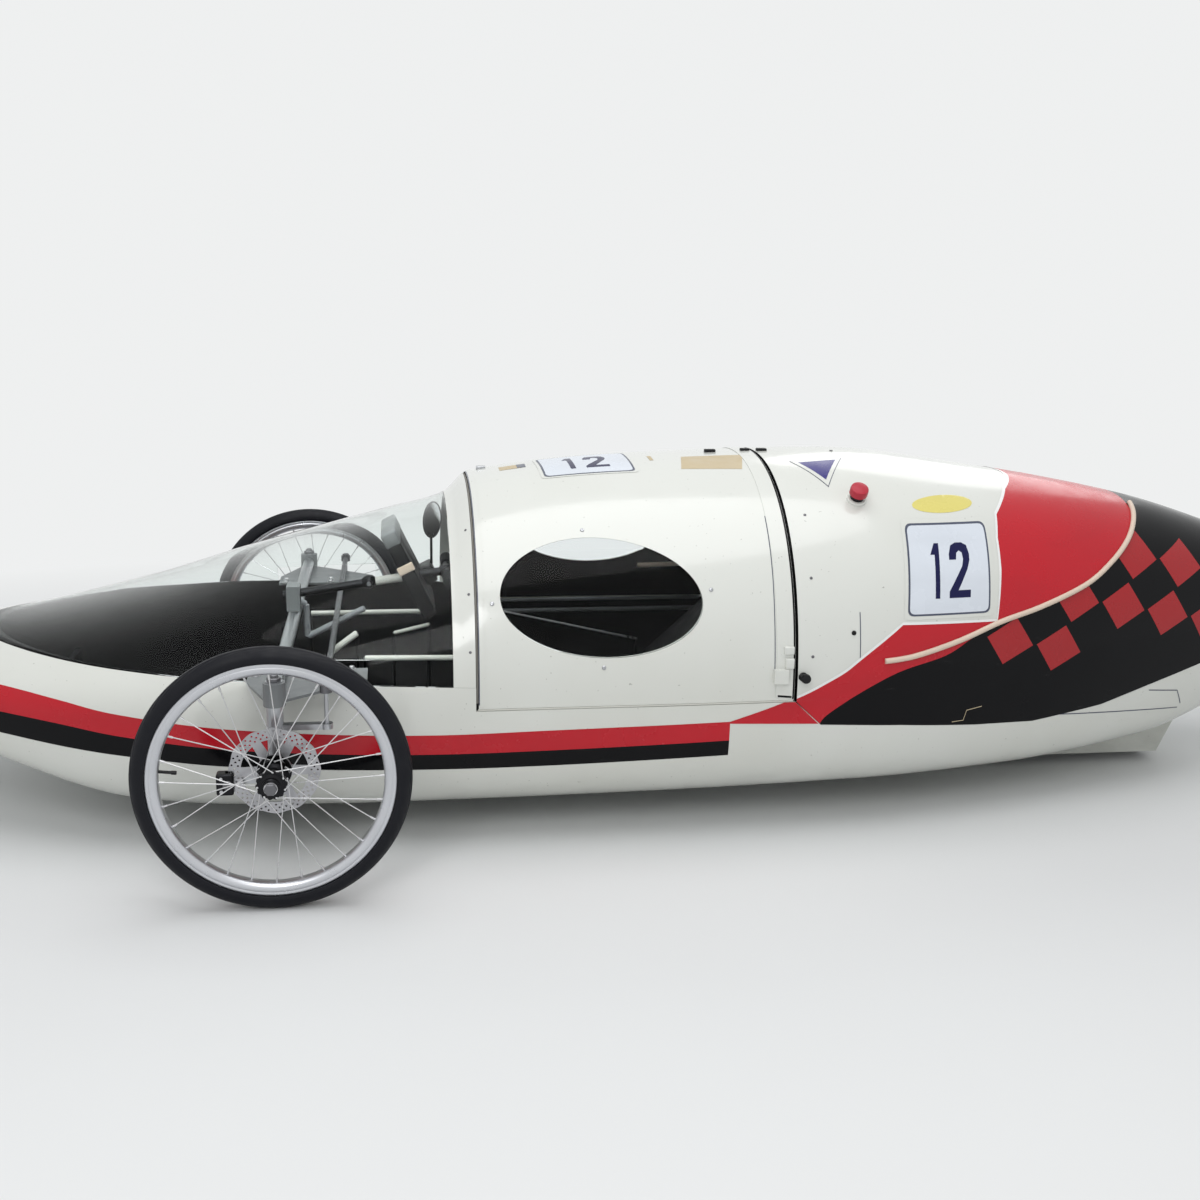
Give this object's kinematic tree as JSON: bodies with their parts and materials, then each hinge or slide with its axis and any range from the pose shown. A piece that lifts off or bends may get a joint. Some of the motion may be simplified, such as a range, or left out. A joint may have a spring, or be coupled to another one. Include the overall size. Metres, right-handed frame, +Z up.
{
  "type": "enclosed three-wheeled streamlined single-seater",
  "caption": "Low teardrop three-wheeler with outboard steered spoked wheels, a hinged cab hatch with oval windows and a faired rear wheel.",
  "frame": {"origin": "on the ground under the middle of the body's length and width", "axes": "+X towards the nose, +Y towards the vehicle's left side, +Z up"},
  "size_m": [3.4, 1.344, 0.719],
  "materials": {
    "white_paint": "glossy white paint over moulded composite, slightly worn",
    "clear_plastic": "clear thermoformed plastic sheet",
    "black_carbon": "black resin-coated carbon composite",
    "aluminium": "bright machined aluminium",
    "grey_steel": "dark grey steel",
    "black_plastic": "black satin plastic",
    "tyre_rubber": "slick black rubber",
    "red_plastic": "red moulded plastic"
  },
  "bodies": {
    "root": {"tub_shell": "white_paint", "tail_cover": "white_paint", "tail_underpanel": "white_paint", "cab_hoop": "white_paint", "windscreen": "clear_plastic", "hatch_hinge_front": "aluminium", "hatch_hinge_rear": "aluminium", "front_beam": "aluminium", "kingpin_gusset_left": "grey_steel", "kingpin_gusset_right": "grey_steel", "column_bracket": "grey_steel", "instrument_board": "black_plastic", "mirror": "black_plastic", "rear_bulkhead": "black_carbon", "seat_shell": "black_plastic", "foot_rest": "black_carbon", "engine_block": "grey_steel", "rear_dropout_left": "aluminium", "rear_dropout_right": "aluminium", "rear_axle": "grey_steel", "rear_wheel_fairing": "white_paint", "stop_button": "red_plastic"},
    "hatch": {"hatch_shell": "white_paint", "side_window_left": "clear_plastic", "side_window_right": "clear_plastic", "hatch_latch": "white_paint"},
    "steer_left": {"knuckle_left": "aluminium", "caliper_left": "black_plastic"},
    "steer_right": {"knuckle_right": "aluminium", "caliper_right": "black_plastic"},
    "spin_front_left": {"tyre_front_left": "tyre_rubber", "wheel_front_left": "aluminium", "brake_disc_left": "grey_steel"},
    "spin_front_right": {"tyre_front_right": "tyre_rubber", "wheel_front_right": "aluminium", "brake_disc_right": "grey_steel"},
    "spin_rear": {"tyre_rear": "tyre_rubber", "wheel_rear": "aluminium"},
    "track_rod": {"tie_rod": "aluminium"},
    "handlebar": {"steering_column": "aluminium"}
  },
  "joints": [
    {"name": "hatch_hinge", "type": "hinge", "parent": "root", "child": "hatch", "pos_m": [0.3, -0.4405, 0.29], "axis": [1, 0, 0], "range_deg": [0, 75]},
    {"name": "left_kingpin", "type": "hinge", "parent": "root", "child": "steer_left", "pos_m": [0.8, 0.532, 0.24], "axis": [0, 0, 1], "range_deg": [-20, 20]},
    {"name": "right_kingpin", "type": "hinge", "parent": "root", "child": "steer_right", "pos_m": [0.8, -0.532, 0.24], "axis": [0, 0, 1], "range_deg": [-20, 20]},
    {"name": "track_rod_pivot", "type": "hinge", "parent": "steer_left", "child": "track_rod", "pos_m": [0.71, 0.532, 0.37465], "axis": [0, 0, 1], "range_deg": [-20, 20]},
    {"name": "column_turn", "type": "hinge", "parent": "root", "child": "handlebar", "pos_m": [0.475, 0, 0.462], "axis": [-0.9898, 0, 0.1426], "range_deg": [-30, 30]},
    {"name": "front_left_wheel", "type": "hinge", "parent": "steer_left", "child": "spin_front_left", "pos_m": [0.8, 0.62, 0.24], "axis": [0, 1, 0], "continuous": true},
    {"name": "front_right_wheel", "type": "hinge", "parent": "steer_right", "child": "spin_front_right", "pos_m": [0.8, -0.62, 0.24], "axis": [0, 1, 0], "continuous": true},
    {"name": "rear_wheel", "type": "hinge", "parent": "root", "child": "spin_rear", "pos_m": [-0.82, 0, 0.24], "axis": [0, 1, 0], "continuous": true}
  ],
  "couplings": [
    {"joint": "right_kingpin", "follows": "left_kingpin", "ratio": 1},
    {"joint": "track_rod_pivot", "follows": "left_kingpin", "ratio": -1},
    {"joint": "column_turn", "follows": "left_kingpin", "ratio": 1.5}
  ]
}
